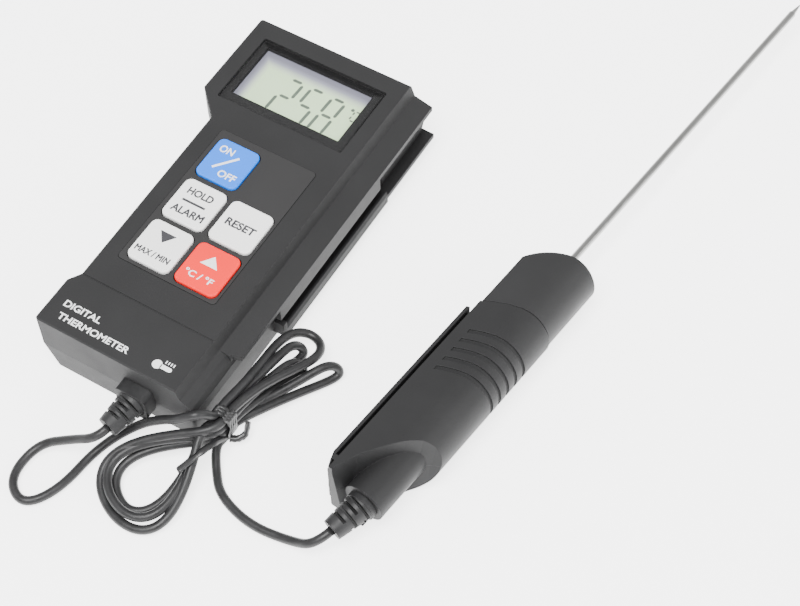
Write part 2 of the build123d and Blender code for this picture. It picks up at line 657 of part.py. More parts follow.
def make_probe_relief():
    tip = LEAD_ROUTE[-1]
    base = (PROBE * Pos(TUBE_U, TUBE_START, HANDLE_MID)).position
    root = (base.X, base.Y, base.Z)
    direction = (tip[0] - root[0], tip[1] - root[1], tip[2] - root[2])
    length = sqrt(direction[0] ** 2 + direction[1] ** 2 + direction[2] ** 2)
    stem = PROBE * rod_v(TUBE_U, TUBE_START - 0.3, 6.0, 3.3)
    collar = PROBE * rod_v(TUBE_U, TUBE_START - 1.6, 1.55, 4.3)
    relief = slotted_relief(root, direction, length, RELIEF_BASE_R, RELIEF_TIP_R, 4)
    keep = PROBE * block(-20, 40, -40, TUBE_START - 0.05, -5, 30)
    relief = (relief & keep) + collar + stem
    return relief


# --- cord pieces ---
def cord_line(points, name):
    """Rounded route: each bend takes what its shorter run allows."""
    radii = []
    for k in range(1, len(points) - 1):
        a = Vector(*points[k]) - Vector(*points[k - 1])
        b = Vector(*points[k + 1]) - Vector(*points[k])
        half_turn = radians(a.get_angle(b)) / 2
        radii.append(0.45 * min(a.length, b.length) / tan(half_turn))
    print(name, "bend radii", [round(r, 1) for r in radii])
    edges = []
    start = Vector(*points[0])
    for k in range(1, len(points) - 1):
        corner = Vector(*points[k])
        a = (corner - Vector(*points[k - 1])).normalized()
        b = (Vector(*points[k + 1]) - corner).normalized()
        half_turn = radians(a.get_angle(b)) / 2
        back = radii[k - 1] * tan(half_turn)
        enter = corner - a * back
        leave = corner + b * back
        edges.append(Line(start, enter))
        edges.append(TangentArc(enter, leave, tangent=a))
        start = leave
    edges.append(Line(start, Vector(*points[-1])))
    return Wire(edges)


def cord_tube(points, name):
    line = cord_line(points, name)
    tube = sweep(Plane(origin=line @ 0, z_dir=line % 0) * Circle(CORD_R), path=line)
    volume = 3.14159 * CORD_R ** 2 * line.length
    print(name, "length", round(line.length, 1), "volume ratio", round(tube.volume / volume, 4))
    return tube


def lobe(points, z0, height):
    """Flat bag of loops with softened upper edges."""
    plan = make_face(Polyline(*points, close=True))
    plan = fillet(plan.vertices(), LOBE_R)
    solid = extrude(Pos(0, 0, z0) * plan, amount=height)
    return chamfer(solid.faces().sort_by(Axis.Z)[-1].edges(), 1.0)


def make_hank(tail):
    """Outer shape of the folded cord: a lobe of loops each side of the tied core."""
    left = lobe(LEFT_LOBE, 0.1, LEFT_LOBE_H)
    right = lobe(RIGHT_LOBE, RIGHT_LOBE_Z, RIGHT_LOBE_H)
    corner = lobe(CORNER_PLAN, CORNER_Z, CORNER_H)
    core = lobe(CORE_PLAN, CORE_Z, CORE_H)
    return left + right + corner + core - tail


def make_tie(hank):
    """Twist tie wound round the stack of strands."""
    plane = Plane(origin=(TIE_X, TIE_Y - TIE_WIDTH / 2, TIE_Z), x_dir=(1, 0, 0), z_dir=(0, 1, 0))
    ring = extrude(plane * RectangleRounded(TIE_W, TIE_H, TIE_R), amount=TIE_WIDTH)
    return ring - hank


def make_tie_end(points):
    """One flat, curled end of the twist tie."""
    line = FilletPolyline(*points, radius=1.6)
    return sweep(Plane(origin=line @ 0, z_dir=line % 0) * Circle(TIE_END_R), path=line)


def save(shape, name):
    solids = shape.solids()
    print(name, "solids", len(solids), "volume", round(shape.volume, 1))
    shape.label = name
    export_step(shape, "parts/" + name + ".step")


os.makedirs("parts", exist_ok=True)
save(make_front_housing(), "front_housing")
save(make_rear_housing(), "rear_housing")
save(make_battery_door(), "battery_door")
save(make_screws(), "housing_screws")
save(make_window(), "display_window")
save(make_lcd(), "lcd_panel")
save(make_lcd_frame(), "lcd_frame")
save(make_zebra(VIEW_Y0 - 1.5), "zebra_strip_lower")
save(make_overlay(), "keypad_overlay")
for key_name, (key_x, key_y) in KEYS.items():
    save(make_key(key_x, key_y), key_name)
    save(make_dome(key_x, key_y), key_name.replace("key_", "dome_"))
save(make_board(), "main_board")
save(block(-6.0, 6.0, -12.0, 0.0, BOARD_Z - 1.4, BOARD_Z), "processor")
save(post(-9.0, -38.0, BOARD_Z - 3.2, BOARD_Z, 5.0), "piezo_buzzer")
save(make_cell(-CELL_PITCH / 2), "battery_cell_left")
save(make_cell(CELL_PITCH / 2), "battery_cell_right")
save(make_contact_spring(-CELL_PITCH / 2), "battery_spring_left")
save(make_contact_spring(CELL_PITCH / 2), "battery_spring_right")
save(make_contact_plate(), "battery_contact_plate")
save(block(-11.8, 11.8, -41.8, -14.2, 0.05, 0.25), "rating_label")
save(make_meter_relief(), "meter_strain_relief")
save(make_wire_pair(), "meter_wires")

HANDLE = handle_blank()
save(make_handle_half(HANDLE, True), "handle_upper_shell")
save(make_handle_half(HANDLE, False), "handle_lower_shell")
save(make_nose(), "nose_cap")
save(make_needle(), "probe_needle")
save(make_ferrule(), "needle_ferrule")
save(make_sensor(), "sensor_bead")
save(make_probe_leads(), "probe_leads")
save(make_handle_screws(), "handle_screws")
save(make_probe_relief(), "probe_strain_relief")

TAIL = cord_tube(TAIL_ROUTE, "cord_tail")
HANK = make_hank(TAIL)
save(TAIL, "cord_tail")
save(HANK, "cord_hank")
save(cord_tube(LEAD_ROUTE, "cord_lead"), "cord_lead")
save(make_tie(HANK), "twist_tie")
save(make_tie_end(TIE_LONG_END), "twist_tie_end_long")
save(make_tie_end(TIE_CURL_END), "twist_tie_end_curl")
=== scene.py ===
from math import cos, pi, radians, sin, sqrt
import bpy
from mathutils import Matrix, Vector


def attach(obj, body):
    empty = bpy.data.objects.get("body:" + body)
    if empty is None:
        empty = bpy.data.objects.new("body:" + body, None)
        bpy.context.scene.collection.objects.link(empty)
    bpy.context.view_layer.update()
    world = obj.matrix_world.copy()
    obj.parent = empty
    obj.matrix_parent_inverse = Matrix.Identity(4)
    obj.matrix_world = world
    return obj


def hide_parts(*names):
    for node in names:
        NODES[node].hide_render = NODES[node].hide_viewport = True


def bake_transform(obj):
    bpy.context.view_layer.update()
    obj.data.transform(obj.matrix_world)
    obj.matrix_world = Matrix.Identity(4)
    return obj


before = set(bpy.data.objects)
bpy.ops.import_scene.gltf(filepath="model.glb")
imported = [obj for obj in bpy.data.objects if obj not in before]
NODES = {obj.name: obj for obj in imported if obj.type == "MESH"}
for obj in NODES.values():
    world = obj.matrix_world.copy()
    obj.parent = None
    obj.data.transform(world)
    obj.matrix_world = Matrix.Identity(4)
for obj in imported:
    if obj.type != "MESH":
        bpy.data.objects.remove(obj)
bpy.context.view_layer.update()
MM = 0.001

# ------------------------------------------------------------------ camera
AZ, EL, ROLL = radians(31.592), radians(56.221), radians(-0.856)
CAMERA_AT = (0.19628, -0.23127, 0.41808)
LENS_MM = 82.15
SENSOR_MM = 36.0
back = Vector((cos(EL) * sin(AZ), -cos(EL) * cos(AZ), sin(EL)))
right = (-back).cross(Vector((0, 0, 1))).normalized()
up = right.cross(-back)
cam_x = right * cos(ROLL) + up * sin(ROLL)
cam_y = -right * sin(ROLL) + up * cos(ROLL)
cam_data = bpy.data.cameras.new("camera")
cam_data.lens = LENS_MM
cam_data.sensor_width = SENSOR_MM
cam_data.clip_start = 0.01
cam_data.clip_end = 20
camera = bpy.data.objects.new("camera", cam_data)
bpy.context.scene.collection.objects.link(camera)
camera.matrix_world = Matrix((
    (cam_x.x, cam_y.x, back.x, CAMERA_AT[0]),
    (cam_x.y, cam_y.y, back.y, CAMERA_AT[1]),
    (cam_x.z, cam_y.z, back.z, CAMERA_AT[2]),
    (0, 0, 0, 1),
))
bpy.context.scene.camera = camera


# ------------------------------------------------------------------ materials, in metres
GRAIN_DEPTH = 0.00006
STREAK_DEPTH = 0.00002
MOULD_DEPTH = 0.00005
METAL_EDGE = 0.00008
RUBBER_EDGE = 0.0002
KEY_EDGE = 0.0004
EDGE_SAMPLES = 6


class Graph:
    """Small helper for node materials."""

    def __init__(self, name):
        self.mat = bpy.data.materials.new(name)
        self.mat.use_nodes = True
        self.tree = self.mat.node_tree
        self.bsdf = next(n for n in self.tree.nodes if n.type == "BSDF_PRINCIPLED")
        self.coord = self.add("ShaderNodeTexCoord")

    def add(self, kind, **sockets):
        node = self.tree.nodes.new(kind)
        for key, value in sockets.items():
            node.inputs[key.replace("_", " ")].default_value = value
        return node

    def link(self, a, b):
        self.tree.links.new(a, b)

    def noise(self, scale, detail=3.0, rough=0.55, stretch=None):
        node = self.add("ShaderNodeTexNoise", Scale=scale, Detail=detail, Roughness=rough)
        source = self.coord.outputs["Object"]
        if stretch:
            mapping = self.add("ShaderNodeMapping")
            mapping.inputs["Scale"].default_value = stretch
            self.link(source, mapping.inputs["Vector"])
            source = mapping.outputs["Vector"]
        self.link(source, node.inputs["Vector"])
        return node.outputs["Fac"]

    def ramp(self, fac, stops):
        node = self.tree.nodes.new("ShaderNodeValToRGB")
        elements = node.color_ramp.elements
        while len(elements) < len(stops):
            elements.new(0.5)
        for element, (pos, col) in zip(elements, stops):
            element.position = pos
            element.color = (*col, 1)
        self.link(fac, node.inputs["Fac"])
        return node.outputs["Color"]

    def value_ramp(self, fac, low, high, lo=0.0, hi=1.0):
        node = self.add("ShaderNodeMapRange")
        node.inputs["From Min"].default_value = lo
        node.inputs["From Max"].default_value = hi
        node.inputs["To Min"].default_value = low
        node.inputs["To Max"].default_value = high
        self.link(fac, node.inputs["Value"])
        return node.outputs["Result"]

    def bump(self, fac, strength, distance, normal):
        node = self.add("ShaderNodeBump", Strength=strength, Distance=distance)
        self.link(fac, node.inputs["Height"])
        self.link(normal, node.inputs["Normal"])
        return node.outputs["Normal"]

    def bevel(self, radius):
        node = self.add("ShaderNodeBevel", Radius=radius)
        node.samples = EDGE_SAMPLES
        return node.outputs["Normal"]


def plastic(name, base, rough=0.5, grain=0.35, grain_scale=2600.0, vary=0.18,
            bevel=0.00025, spec=0.5):
    """Moulded plastic: faint tone drift, rubbed patches, spark-eroded grain, softened edges."""
    g = Graph(name)
    drift = g.noise(45.0, 4.0)
    dark = tuple(c * (1 - vary) for c in base)
    light = tuple(min(1.0, c * (1 + vary)) for c in base)
    g.link(g.ramp(drift, [(0.3, dark), (0.7, light)]), g.bsdf.inputs["Base Color"])
    smear = g.noise(120.0, 5.0, 0.65)
    g.link(g.value_ramp(smear, rough - 0.03, rough + 0.04, 0.3, 0.7), g.bsdf.inputs["Roughness"])
    fine = g.noise(grain_scale, 2.0, 0.7)
    g.link(g.bump(fine, grain, GRAIN_DEPTH, g.bevel(bevel)), g.bsdf.inputs["Normal"])
    g.bsdf.inputs["Specular IOR Level"].default_value = spec
    return g.mat


def metal(name, base, rough, stretch):
    """Drawn or machined metal with fine streaks along the part."""
    g = Graph(name)
    streak = g.noise(900.0, 4.0, 0.6, stretch)
    dark = tuple(c * 0.86 for c in base)
    g.link(g.ramp(streak, [(0.3, dark), (0.7, base)]), g.bsdf.inputs["Base Color"])
    g.link(g.value_ramp(streak, rough - 0.06, rough + 0.1, 0.3, 0.7), g.bsdf.inputs["Roughness"])
    g.link(g.bump(streak, 0.12, STREAK_DEPTH, g.bevel(METAL_EDGE)), g.bsdf.inputs["Normal"])
    g.bsdf.inputs["Metallic"].default_value = 1.0
    return g.mat


def rubber(name, base, rough=0.6):
    """Flexible vinyl or rubber with dust and faint mould lines."""
    g = Graph(name)
    dust = g.noise(260.0, 6.0, 0.7)
    light = tuple(c * 1.45 + 0.004 for c in base)
    g.link(g.ramp(dust, [(0.35, base), (0.75, light)]), g.bsdf.inputs["Base Color"])
    g.link(g.value_ramp(dust, rough - 0.08, rough + 0.1, 0.3, 0.7), g.bsdf.inputs["Roughness"])
    relief = g.bump(g.noise(1500.0, 3.0), 0.3, MOULD_DEPTH, g.bevel(RUBBER_EDGE))
    g.link(relief, g.bsdf.inputs["Normal"])
    g.bsdf.inputs["Specular IOR Level"].default_value = 0.3
    return g.mat


def paint(name, base, rough=0.5):
    """Printed ink: slightly uneven, almost no relief."""
    g = Graph(name)
    patch = g.noise(1400.0, 3.0)
    dark = tuple(c * 0.9 for c in base)
    g.link(g.ramp(patch, [(0.3, dark), (0.6, base)]), g.bsdf.inputs["Base Color"])
    g.link(g.value_ramp(patch, rough - 0.05, rough + 0.05), g.bsdf.inputs["Roughness"])
    return g.mat


BLACK = plastic("case_black", (0.021, 0.021, 0.0215), 0.55, 0.6, vary=0.08, spec=0.16)
BLACK_REAR = plastic("case_black_rear", (0.016, 0.016, 0.0165), 0.55, 0.5, vary=0.08, spec=0.14)
GRIP = plastic("grip_black", (0.018, 0.018, 0.0185), 0.45, 0.4, vary=0.08, spec=0.16)
NOSE = plastic("nose_black", (0.022, 0.022, 0.0225), 0.42, 0.3, vary=0.08, spec=0.16)
FILM = plastic("overlay_film", (0.027, 0.0265, 0.027), 0.56, 0.25, 3800.0, vary=0.06, spec=0.2)
DOOR = plastic("door_black", (0.024, 0.024, 0.0245), 0.5, 0.5, vary=0.08, spec=0.2)
BLUE = plastic("key_blue", (0.008, 0.19, 0.88), 0.5, 0.12, 3000.0, 0.05, KEY_EDGE, 0.3)
RED = plastic("key_red", (0.92, 0.015, 0.012), 0.5, 0.12, 3000.0, 0.05, KEY_EDGE, 0.3)
WHITE = plastic("key_white", (0.95, 0.95, 0.94), 0.48, 0.12, 3000.0, 0.02, KEY_EDGE, 0.3)
INK_WHITE = paint("ink_white", (0.93, 0.94, 0.94))
INK_GREY = paint("ink_grey", (0.035, 0.035, 0.04))
RUBBER = rubber("relief_rubber", (0.012, 0.012, 0.0125), 0.5)
CORD = rubber("cord_vinyl", (0.014, 0.014, 0.0145), 0.38)
TIE = plastic("tie_film", (0.016, 0.016, 0.0165), 0.3, 0.6, 900.0, 0.15, 0.0001)
STEEL = metal("needle_steel", (0.40, 0.40, 0.39), 0.2, (1.0, 0.12, 1.0))
ZINC = metal("screw_zinc", (0.42, 0.42, 0.43), 0.36, (1.0, 1.0, 0.2))
NICKEL = metal("contact_nickel", (0.62, 0.6, 0.56), 0.3, (0.3, 1.0, 1.0))
BRASS = metal("ring_brass", (0.55, 0.42, 0.2), 0.34, (1.0, 0.3, 1.0))
BOARD = plastic("board_green", (0.03, 0.16, 0.07), 0.35, 0.2)
CHIP = plastic("chip_black", (0.02, 0.02, 0.02), 0.6, 0.5)
SILICONE = plastic("silicone", (0.62, 0.62, 0.6), 0.5, 0.1)
CELL = plastic("cell_jacket", (0.12, 0.13, 0.15), 0.3, 0.05)
LABEL = plastic("label_silver", (0.5, 0.5, 0.5), 0.42, 0.1)
INSULATION = plastic("wire_red", (0.4, 0.05, 0.04), 0.45, 0.1)


def window_material():
    """Clear window: thin tint and a soft reflection, with faint rubbing."""
    g = Graph("window_clear")
    rub = g.noise(180.0, 5.0, 0.6, (1.0, 0.25, 1.0))
    tint = g.ramp(rub, [(0.3, (0.012, 0.012, 0.012)), (0.7, (0.02, 0.02, 0.02))])
    g.link(tint, g.bsdf.inputs["Base Color"])
    g.link(g.value_ramp(rub, 0.06, 0.16, 0.35, 0.7), g.bsdf.inputs["Roughness"])
    g.bsdf.inputs["Alpha"].default_value = 0.07
    return g.mat


# Where the bezel's shade starts and ends on the display glass, in millimetres.
SHADE_X = (-19.6, -16.4)
SHADE_Y = (45.2, 49.2)
# Colour sockets of a Mix node.
MIX_A, MIX_B, MIX_OUT = 6, 7, 2


def lcd_material():
    """Reflective display glass: pale grey-green, with the shade a deep bezel throws on two sides."""
    g = Graph("lcd_glass")
    split = g.add("ShaderNodeSeparateXYZ")
    g.link(g.coord.outputs["Object"], split.inputs["Vector"])
    left = g.value_ramp(split.outputs["X"], 1.0, 0.0, SHADE_X[0] * MM, SHADE_X[1] * MM)
    top = g.value_ramp(split.outputs["Y"], 0.0, 1.0, SHADE_Y[0] * MM, SHADE_Y[1] * MM)
    edge = g.add("ShaderNodeMath")
    edge.operation = "MAXIMUM"
    g.link(left, edge.inputs[0])
    g.link(top, edge.inputs[1])
    tone = g.ramp(edge.outputs["Value"], [
        (0.0, (0.72, 0.95, 0.60)), (0.3, (0.62, 0.74, 0.58)),
        (0.7, (0.33, 0.34, 0.41)), (1.0, (0.22, 0.22, 0.28)),
    ])
    mottle = g.noise(300.0, 4.0)
    mix = g.add("ShaderNodeMix")
    mix.data_type = "RGBA"
    mix.blend_type = "MULTIPLY"
    mix.inputs["Factor"].default_value = 0.6
    g.link(tone, mix.inputs[MIX_A])
    g.link(g.ramp(mottle, [(0.3, (0.93, 0.94, 0.9)), (0.7, (1.0, 1.0, 1.0))]), mix.inputs[MIX_B])
    g.link(mix.outputs[MIX_OUT], g.bsdf.inputs["Base Color"])
    g.link(g.value_ramp(mottle, 0.42, 0.55), g.bsdf.inputs["Roughness"])
    return g.mat


WINDOW = window_material()
LCD = lcd_material()
SEGMENT = paint("lcd_segment", (0.13, 0.17, 0.13), 0.5)


# ------------------------------------------------------------------ geometry helpers
def new_mesh(name, verts, faces, material, smooth=True):
    mesh = bpy.data.meshes.new(name)
    mesh.from_pydata(verts, [], faces)
    mesh.update()
    mesh.materials.append(material)
    if smooth:
        for polygon in mesh.polygons:
            polygon.use_smooth = True
    obj = bpy.data.objects.new(name, mesh)
    bpy.context.scene.collection.objects.link(obj)
    return obj


def tube_rings(points, radius, sides):
    """Rings of a tube along points, with a frame carried along so that it doesn't twist."""
    count = len(points)
    tangents = []
    for i in range(count):
        a = points[max(0, i - 1)]
        b = points[min(count - 1, i + 1)]
        tangents.append((b - a).normalized())
    normal = tangents[0].cross(Vector((0, 0, 1)))
    if normal.length < 1e-3:
        normal = tangents[0].cross(Vector((1, 0, 0)))
    normal.normalize()
    verts = []
    for point, tangent in zip(points, tangents):
        normal = (normal - tangent * normal.dot(tangent)).normalized()
        side = tangent.cross(normal)
        for k in range(sides):
            angle = 2 * pi * k / sides
            verts.append(point + normal * (radius * cos(angle)) + side * (radius * sin(angle)))
    return verts


def ring_faces(rings, sides):
    """Quads between neighbouring rings, and a cap on each end."""
    faces = []
    for i in range(rings - 1):
        for k in range(sides):
            a = i * sides + k
            b = i * sides + (k + 1) % sides
            faces.append((a, b, b + sides, a + sides))
    last = (rings - 1) * sides
    faces.append(tuple(range(sides - 1, -1, -1)))
    faces.append(tuple(last + k for k in range(sides)))
    return faces


def tube(name, points, radius, material, sides):
    verts = tube_rings(points, radius, sides)
    return new_mesh(name, verts, ring_faces(len(points), sides), material)


def nurbs_points(name, route, resolution):
    """Points along one quadratic spline through the route, read from the evaluated curve."""
    data = bpy.data.curves.new(name, "CURVE")
    data.dimensions = "3D"
    spline = data.splines.new("NURBS")
    spline.points.add(len(route) - 1)
    for point, co in zip(spline.points, route):
        point.co = (co[0] * MM, co[1] * MM, co[2] * MM, 1)
    spline.order_u = 3
    spline.use_endpoint_u = True
    spline.resolution_u = resolution
    obj = bpy.data.objects.new(name, data)
    bpy.context.scene.collection.objects.link(obj)
    mesh = bpy.data.meshes.new_from_object(obj)
    points = [v.co.copy() for v in mesh.vertices]
    bpy.data.meshes.remove(mesh)
    bpy.data.objects.remove(obj)
    bpy.data.curves.remove(data)
    return points


def path_length(points):
    return sum((b - a).length for a, b in zip(points, points[1:]))


# ------------------------------------------------------------------ cord route, in millimetres
FROM_METER = [
    (8.8, -70.6, 11.2), (8.05, -74.5, 10.73), (0.8, -76.2, 6.4), (-8.2, -80.2, 2.2),
    (-9.0, -92.0, 1.3), (-1.2, -96.8, 1.3), (4.4, -88.0, 1.3), (5.6, -73.0, 1.4),
    (12.4, -63.4, 5.6), (19.6, -61.0, 10.6), (23.6, -60.9, 13.6), (28.0, -58.7, 16.6),
    (29.7, -56.6, 15.6),
]
TO_PROBE = [
    (32.6, -57.6, 3.2), (36.0, -62.8, 1.5), (41.0, -68.4, 1.3), (52.2, -71.6, 1.3),
    (64.2, -70.4, 2.2), (71.14, -70.26, 7.21), (73.0, -64.9, 8.2),
]
CORD_D = 2.5
CORD_SIDES = 16
CORD_RESOLUTION = 8
LYING_Z = 1.3
TIE_X = 32.2
TIE_NEAR_Y = -54.6
TIE_FAR_Y = -50.4
TIE_LEFT = (30.4, -58.4)
TIE_RIGHT = (32.3, -48.8)
# The strand passes through the tie in two staggered columns, numbered from the lowest:
# sideways offset and height of each pass.
PASSES = 8
LOWEST_PASS = 3.65
PASS_RISE = 1.25
PASS_OFFSET = 1.1
LEVELS = [(PASS_OFFSET if k % 2 == 0 else -PASS_OFFSET, LOWEST_PASS + PASS_RISE * k)
          for k in range(PASSES)]
# Shapes of a lobe's far end.
EVEN, FAT, TIGHT = range(3)
FAT_WIDTH = 1.3
TIGHT_OPENING = 1.1
# Each lobe: end point (x, y, z), spread (x, y, z) half way across, level out, level back,
# settling power (0 for an even slope), width of the return against the way out, far end.
RIGHT_LOBES = [
    ((37.7, -16.8, 4.6), (-4.7, 1.0, 0.3), 7, 6, 0, 1.0, FAT),
    ((36.3, -21.8, 5.4), (-0.8, -0.5, 1.7), 5, 4, 0, 1.0, TIGHT),
    ((38.6, -25.6, 3.5), (-0.8, -0.4, 1.6), 3, 2, 0, 1.0, TIGHT),
    ((47.6, -21.4, 3.5), (-0.9, -0.3, 1.6), 1, 0, 3, 1.0, TIGHT),
]
LEFT_LOBES = [
    ((19.6, -86.6, 1.3), (-11.5, 4.6, 0.0), 6, 5, 1.6, 0.95, EVEN),
    ((20.2, -84.9, 3.3), (-10.2, 4.1, 0.0), 4, 3, 1.6, 0.84, EVEN),
    ((20.8, -83.2, 1.3), (-8.6, 3.5, 0.0), 2, 1, 1.6, 0.68, EVEN),
]
LOBE_STEPS = 14
OUTWARD_SETTLE = 0.55


def lobe(start, shape):
    """One turn of the hank: out from the tie, round and back, fanning out and settling as it goes."""
    end, spread, out, home, settle_power, narrow, far_end = shape
    points = []
    for k in range(LOBE_STEPS + 1):
        s = k / LOBE_STEPS
        reach = sin(pi * s)
        wide = sin(2 * pi * s) * (1.0 if far_end == EVEN else FAT_WIDTH * reach)
        if far_end == TIGHT:
            wide *= 1 + TIGHT_OPENING * reach ** 6
        offset, z_tie = LEVELS[out if s < 0.5 else home]
        if s > 0.5:
            wide *= narrow
        power = settle_power * (OUTWARD_SETTLE if s <= 0.5 and far_end == EVEN else 1)
        settle = (1 - reach) ** power if power else 1 - reach ** 2
        aside = offset * (1 - reach)
        x = start[0] + aside + (end[0] - start[0]) * reach + spread[0] * wide
        y = start[1] + (end[1] - start[1]) * reach + spread[1] * wide
        z = end[2] + (z_tie - end[2]) * settle + spread[2] * wide
        points.append((x, y, max(z, LYING_Z)))
    return points


def through_tie(level, from_left):
    """Two points that carry a strand through the tie at its own level."""
    offset, z = LEVELS[level]
    near = (TIE_X + offset, TIE_NEAR_Y, z)
    far = (TIE_X + offset, TIE_FAR_Y, z)
    return [near, far] if from_left else [far, near]


def cord_route():
    """From the meter, back and forth through the tie from the top pass down, and on to the probe."""
    route = list(FROM_METER) + through_tie(PASSES - 1, True)
    for turn, shape in enumerate(RIGHT_LOBES):
        route += lobe(TIE_RIGHT, shape) + through_tie(shape[3], False)
        if turn < len(LEFT_LOBES):
            route += lobe(TIE_LEFT, LEFT_LOBES[turn]) + through_tie(LEFT_LOBES[turn][3], True)
    return route + TO_PROBE


cord_points = nurbs_points("cord_line", cord_route(), CORD_RESOLUTION)
print("cord length mm", round(path_length(cord_points) * 1000, 1), "points", len(cord_points))
cord = tube("cord", cord_points, CORD_D / 2 * MM, CORD, CORD_SIDES)
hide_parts("cord_tail", "cord_hank", "cord_lead")
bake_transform(cord)

# ------------------------------------------------------------------ carried-over CAD pieces
LOOKS = {
    "front_housing": BLACK, "rear_housing": BLACK_REAR, "battery_door": DOOR, "housing_screws": ZINC,
    "display_window": WINDOW, "lcd_panel": LCD, "lcd_frame": CHIP, "zebra_strip_lower": SILICONE,
    "keypad_overlay": FILM, "key_power": BLUE, "key_hold": WHITE, "key_max_min": WHITE,
    "key_reset": WHITE, "key_unit": RED, "main_board": BOARD, "processor": CHIP, "piezo_buzzer": BRASS,
    "battery_cell_left": CELL, "battery_cell_right": CELL, "battery_spring_left": NICKEL,
    "battery_spring_right": NICKEL, "battery_contact_plate": NICKEL, "rating_label": LABEL,
    "meter_strain_relief": RUBBER, "meter_wires": INSULATION, "handle_upper_shell": GRIP,
    "handle_lower_shell": GRIP, "nose_cap": NOSE, "probe_needle": STEEL, "needle_ferrule": BRASS,
    "sensor_bead": CHIP, "probe_leads": INSULATION, "handle_screws": ZINC, "probe_strain_relief": RUBBER,
    "twist_tie": TIE, "twist_tie_end_long": TIE, "twist_tie_end_curl": TIE, "dome_power": SILICONE,
    "dome_hold": SILICONE, "dome_max_min": SILICONE, "dome_reset": SILICONE, "dome_unit": SILICONE,
}
for name, material in LOOKS.items():
    data = NODES[name].data
    data.materials.clear()
    data.materials.append(material)

# ------------------------------------------------------------------ twist tie, in millimetres
# Cross-section of the strip, in half widths and thicknesses: a ridge over the wire, thin edges.
PROFILE = [(-1, 0), (-0.55, 0.5), (-0.16, 1), (0.16, 1), (0.55, 0.5), (1, 0), (0.5, -0.45), (-0.5, -0.45)]
WIND_Z = 8.0
WIND_HALF_X = 2.75
WIND_HALF_Z = 5.6
WIND_SQUARENESS = 0.62
WIND_START_Y = -54.0
WIND_CREEP = 2.9
WIND_START_ANGLE = -0.9
WIND_TURNS = 3.3
WIND_STEPS = 44
END_STEPS = 24


def band(name, path, width, thick):
    """A flat paper-and-wire strip along path: (point, outward direction, twist) for each step."""
    verts = []
    for i, (point, out, twist) in enumerate(path):
        ahead = path[min(i + 1, len(path) - 1)][0] - path[max(i - 1, 0)][0]
        ahead.normalize()
        out = (out - ahead * out.dot(ahead)).normalized()
        across = ahead.cross(out)
        lean_out = out * cos(twist) + across * sin(twist)
        lean_across = across * cos(twist) - out * sin(twist)
        half = width / 2 * (1 + 0.08 * sin(i * 1.7))
        for a, b in PROFILE:
            verts.append((point + lean_across * (a * half) + lean_out * (b * thick)) * MM)
    return new_mesh(name, verts, ring_faces(len(path), len(PROFILE)), TIE)


def wound_path():
    """Turns of the strip round the bundle, creeping along it, with the slack and creases of hand winding."""
    path = []
    for k in range(int(WIND_TURNS * WIND_STEPS) + 1):
        angle = 2 * pi * k / WIND_STEPS + WIND_START_ANGLE
        slack = 1 + 0.05 * sin(3 * angle + 0.6) + 0.03 * sin(7 * angle)
        c, s = cos(angle), sin(angle)
        x = TIE_X + WIND_HALF_X * slack * (abs(c) ** WIND_SQUARENESS) * (1 if c > 0 else -1)
        z = WIND_Z + WIND_HALF_Z * slack * (abs(s) ** WIND_SQUARENESS) * (1 if s > 0 else -1)
        y = WIND_START_Y + WIND_CREEP * k / (WIND_TURNS * WIND_STEPS) + 0.2 * sin(5 * angle)
        twist = 0.5 * sin(6 * angle + 1.0) + 0.25 * sin(11 * angle)
        path.append((Vector((x, y, z)), Vector((c * 2, 0, s)), twist))
    return path


def end_path(points, out, curl):
    """A loose end of the strip: a smooth line through the points, twisting by curl along it."""
    line = [Vector(p) for p in points]
    path = []
    for k in range(END_STEPS + 1):
        t = k / END_STEPS * (len(line) - 1)
        i = min(int(t), len(line) - 2)
        f = t - i
        before, after = line[max(i - 1, 0)], line[min(i + 2, len(line) - 1)]
        a, b = line[i], line[i + 1]
        m0, m1 = (b - before) / 2, (after - a) / 2
        point = (a * (2 * f ** 3 - 3 * f ** 2 + 1) + m0 * (f ** 3 - 2 * f ** 2 + f)
                 + b * (3 * f ** 2 - 2 * f ** 3) + m1 * (f ** 3 - f ** 2))
        path.append((point, Vector(out), curl * k / END_STEPS + 0.15 * sin(k * 0.8)))
    return path


LONG_END = [(34.2, -54.4, 5.0), (34.1, -59.4, 9.0), (33.2, -64.2, 10.4), (29.9, -70.4, 7.5)]
CURL_END = [(34.4, -53.9, 3.2), (36.4, -52.6, 3.0), (37.3, -50.6, 3.4), (36.4, -47.8, 4.8)]
tie = band("tie_wound", wound_path(), 1.5, 0.3)
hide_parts("twist_tie")
tie_long = band("tie_long_end", end_path(LONG_END, (0.3, -0.3, 1), 0.5), 1.9, 0.26)
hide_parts("twist_tie_end_long")
tie_curl = band("tie_curl_end", end_path(CURL_END, (0.2, -0.2, 1), 0.9), 1.9, 0.34)
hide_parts("twist_tie_end_curl")
for piece in (tie, tie_long, tie_curl):
    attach(piece, "meter")

# ------------------------------------------------------------------ printed legends
PRINT_LIFT = 0.03
LETTER_WEIGHT = 0.032
LETTER_RELIEF = 0.4
KEY_TOP = 24.4
BAND_TOP = 23.6


def flat_shape(name, outlines, z, material, body):
    """Flat printed shape from closed outlines in millimetres."""
    verts = []
    faces = []
    for outline in outlines:
        faces.append(tuple(range(len(verts), len(verts) + len(outline))))
        verts += [(x * MM, y * MM, (z + PRINT_LIFT) * MM) for x, y in outline]
    piece = new_mesh(name, verts, faces, material, False)
    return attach(piece, body)


